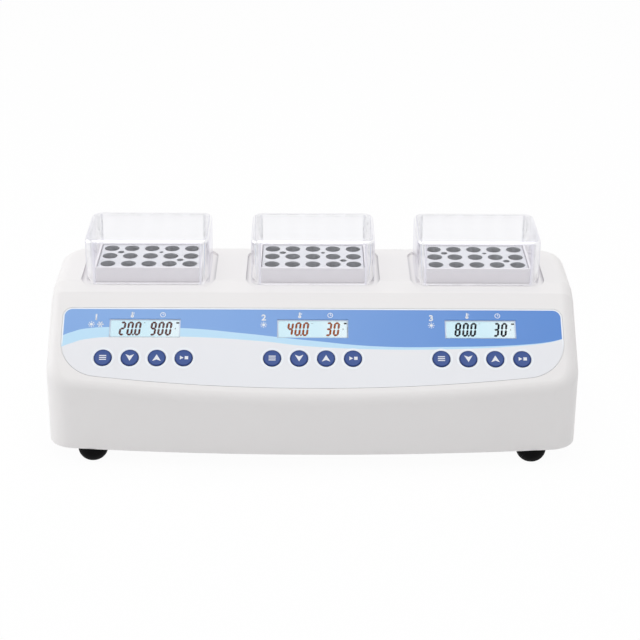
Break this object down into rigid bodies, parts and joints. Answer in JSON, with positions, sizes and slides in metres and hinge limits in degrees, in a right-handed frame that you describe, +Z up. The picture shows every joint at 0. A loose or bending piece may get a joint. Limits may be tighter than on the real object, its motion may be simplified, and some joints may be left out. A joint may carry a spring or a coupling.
{
  "type": "dry block heater",
  "caption": "Bench dry bath with a sloped key and display panel, drilled aluminium blocks for tubes and clear lift-off lids.",
  "frame": {"origin": "on the bench under the middle of the case", "axes": "+Z up, the panel faces -Y, +X to the right as seen from the front"},
  "size_m": [0.38, 0.15, 0.1442],
  "materials": {
    "case_plastic": "fine moulded texture, warm white",
    "foot_rubber": "moulded black rubber",
    "panel_film": "printed film with a satin face",
    "clear_window": "clear hard-coated plastic",
    "clear_lid": "clear moulded plastic, polished",
    "display_face": "lit pale display behind a black rim",
    "key_cap": "soft-touch moulded key, dark blue",
    "circuit_board": "solder-masked board",
    "block_aluminium": "machined and bead-blasted",
    "collar_metal": "satin anodised",
    "heater_silicone": "moulded silicone",
    "insulation_foam": "felted fibre",
    "ceramic": "fired ceramic",
    "heat_sink_aluminium": "extruded, clear anodised",
    "fan_plastic": "moulded black",
    "screw_steel": "zinc-plated",
    "service_plastic": "moulded black"
  },
  "bodies": {
    "case": {"upper_housing": "case_plastic", "base_plate": "case_plastic", "panel_overlay": "panel_film", "foot_front_left": "foot_rubber", "foot_front_right": "foot_rubber", "foot_back_left": "foot_rubber", "foot_back_right": "foot_rubber", "lcd_window_left": "clear_window", "lcd_module_left": "display_face", "block_left": "block_aluminium", "collar_left": "collar_metal", "heat_plate_left": "block_aluminium", "lcd_window_middle": "clear_window", "lcd_module_middle": "display_face", "block_middle": "block_aluminium", "collar_middle": "collar_metal", "heat_plate_middle": "block_aluminium", "lcd_window_right": "clear_window", "lcd_module_right": "display_face", "block_right": "block_aluminium", "collar_right": "collar_metal", "heat_plate_right": "block_aluminium", "heater_pad_middle": "heater_silicone", "insulation_middle": "insulation_foam", "heater_pad_right": "heater_silicone", "insulation_right": "insulation_foam", "display_board": "circuit_board", "control_board": "circuit_board", "power_supply": "circuit_board", "temperature_sensors": "screw_steel", "thermal_cutouts": "service_plastic", "cooling_module": "ceramic", "heat_sink": "heat_sink_aluminium", "fan_frame": "fan_plastic", "board_standoffs": "screw_steel", "power_inlet": "service_plastic", "switch_frame": "service_plastic", "case_screws": "screw_steel", "plate_screws": "screw_steel", "block_screws": "screw_steel", "board_screws": "screw_steel", "display_screws": "screw_steel", "foot_screws": "screw_steel"},
    "lid_left": {"lid_left": "clear_lid"},
    "lid_middle": {"lid_middle": "clear_lid"},
    "lid_right": {"lid_right": "clear_lid"},
    "key_left_menu": {"key_left_menu": "key_cap"},
    "key_left_down": {"key_left_down": "key_cap"},
    "key_left_up": {"key_left_up": "key_cap"},
    "key_left_start": {"key_left_start": "key_cap"},
    "key_middle_menu": {"key_middle_menu": "key_cap"},
    "key_middle_down": {"key_middle_down": "key_cap"},
    "key_middle_up": {"key_middle_up": "key_cap"},
    "key_middle_start": {"key_middle_start": "key_cap"},
    "key_right_menu": {"key_right_menu": "key_cap"},
    "key_right_down": {"key_right_down": "key_cap"},
    "key_right_up": {"key_right_up": "key_cap"},
    "key_right_start": {"key_right_start": "key_cap"},
    "switch_rocker": {"switch_rocker": "service_plastic"},
    "fan_rotor": {"fan_rotor": "fan_plastic"}
  },
  "joints": [
    {"name": "lid_left_lift", "type": "slide", "parent": "case", "child": "lid_left", "axis": [0, 0, 1], "range_m": [0, 0.08]},
    {"name": "lid_middle_lift", "type": "slide", "parent": "case", "child": "lid_middle", "axis": [0, 0, 1], "range_m": [0, 0.08]},
    {"name": "lid_right_lift", "type": "slide", "parent": "case", "child": "lid_right", "axis": [0, 0, 1], "range_m": [0, 0.08]},
    {"name": "key_left_menu_press", "type": "slide", "parent": "case", "child": "key_left_menu", "axis": [0, 0.6194, -0.7851], "range_m": [0, 0.0007], "stiffness_N_per_m": 400, "springref_m": -0.001},
    {"name": "key_left_down_press", "type": "slide", "parent": "case", "child": "key_left_down", "axis": [0, 0.6194, -0.7851], "range_m": [0, 0.0007], "stiffness_N_per_m": 400, "springref_m": -0.001},
    {"name": "key_left_up_press", "type": "slide", "parent": "case", "child": "key_left_up", "axis": [0, 0.6194, -0.7851], "range_m": [0, 0.0007], "stiffness_N_per_m": 400, "springref_m": -0.001},
    {"name": "key_left_start_press", "type": "slide", "parent": "case", "child": "key_left_start", "axis": [0, 0.6194, -0.7851], "range_m": [0, 0.0007], "stiffness_N_per_m": 400, "springref_m": -0.001},
    {"name": "key_middle_menu_press", "type": "slide", "parent": "case", "child": "key_middle_menu", "axis": [0, 0.6194, -0.7851], "range_m": [0, 0.0007], "stiffness_N_per_m": 400, "springref_m": -0.001},
    {"name": "key_middle_down_press", "type": "slide", "parent": "case", "child": "key_middle_down", "axis": [0, 0.6194, -0.7851], "range_m": [0, 0.0007], "stiffness_N_per_m": 400, "springref_m": -0.001},
    {"name": "key_middle_up_press", "type": "slide", "parent": "case", "child": "key_middle_up", "axis": [0, 0.6194, -0.7851], "range_m": [0, 0.0007], "stiffness_N_per_m": 400, "springref_m": -0.001},
    {"name": "key_middle_start_press", "type": "slide", "parent": "case", "child": "key_middle_start", "axis": [0, 0.6194, -0.7851], "range_m": [0, 0.0007], "stiffness_N_per_m": 400, "springref_m": -0.001},
    {"name": "key_right_menu_press", "type": "slide", "parent": "case", "child": "key_right_menu", "axis": [0, 0.6194, -0.7851], "range_m": [0, 0.0007], "stiffness_N_per_m": 400, "springref_m": -0.001},
    {"name": "key_right_down_press", "type": "slide", "parent": "case", "child": "key_right_down", "axis": [0, 0.6194, -0.7851], "range_m": [0, 0.0007], "stiffness_N_per_m": 400, "springref_m": -0.001},
    {"name": "key_right_up_press", "type": "slide", "parent": "case", "child": "key_right_up", "axis": [0, 0.6194, -0.7851], "range_m": [0, 0.0007], "stiffness_N_per_m": 400, "springref_m": -0.001},
    {"name": "key_right_start_press", "type": "slide", "parent": "case", "child": "key_right_start", "axis": [0, 0.6194, -0.7851], "range_m": [0, 0.0007], "stiffness_N_per_m": 400, "springref_m": -0.001},
    {"name": "switch_rock", "type": "hinge", "parent": "case", "child": "switch_rocker", "pos_m": [0.142, 0.07, 0.045], "axis": [1, 0, 0], "range_deg": [0, 20]},
    {"name": "fan_spin", "type": "hinge", "parent": "case", "child": "fan_rotor", "pos_m": [-0.1204, 0.0305, 0.02], "axis": [0, 0, 1], "continuous": true}
  ]
}
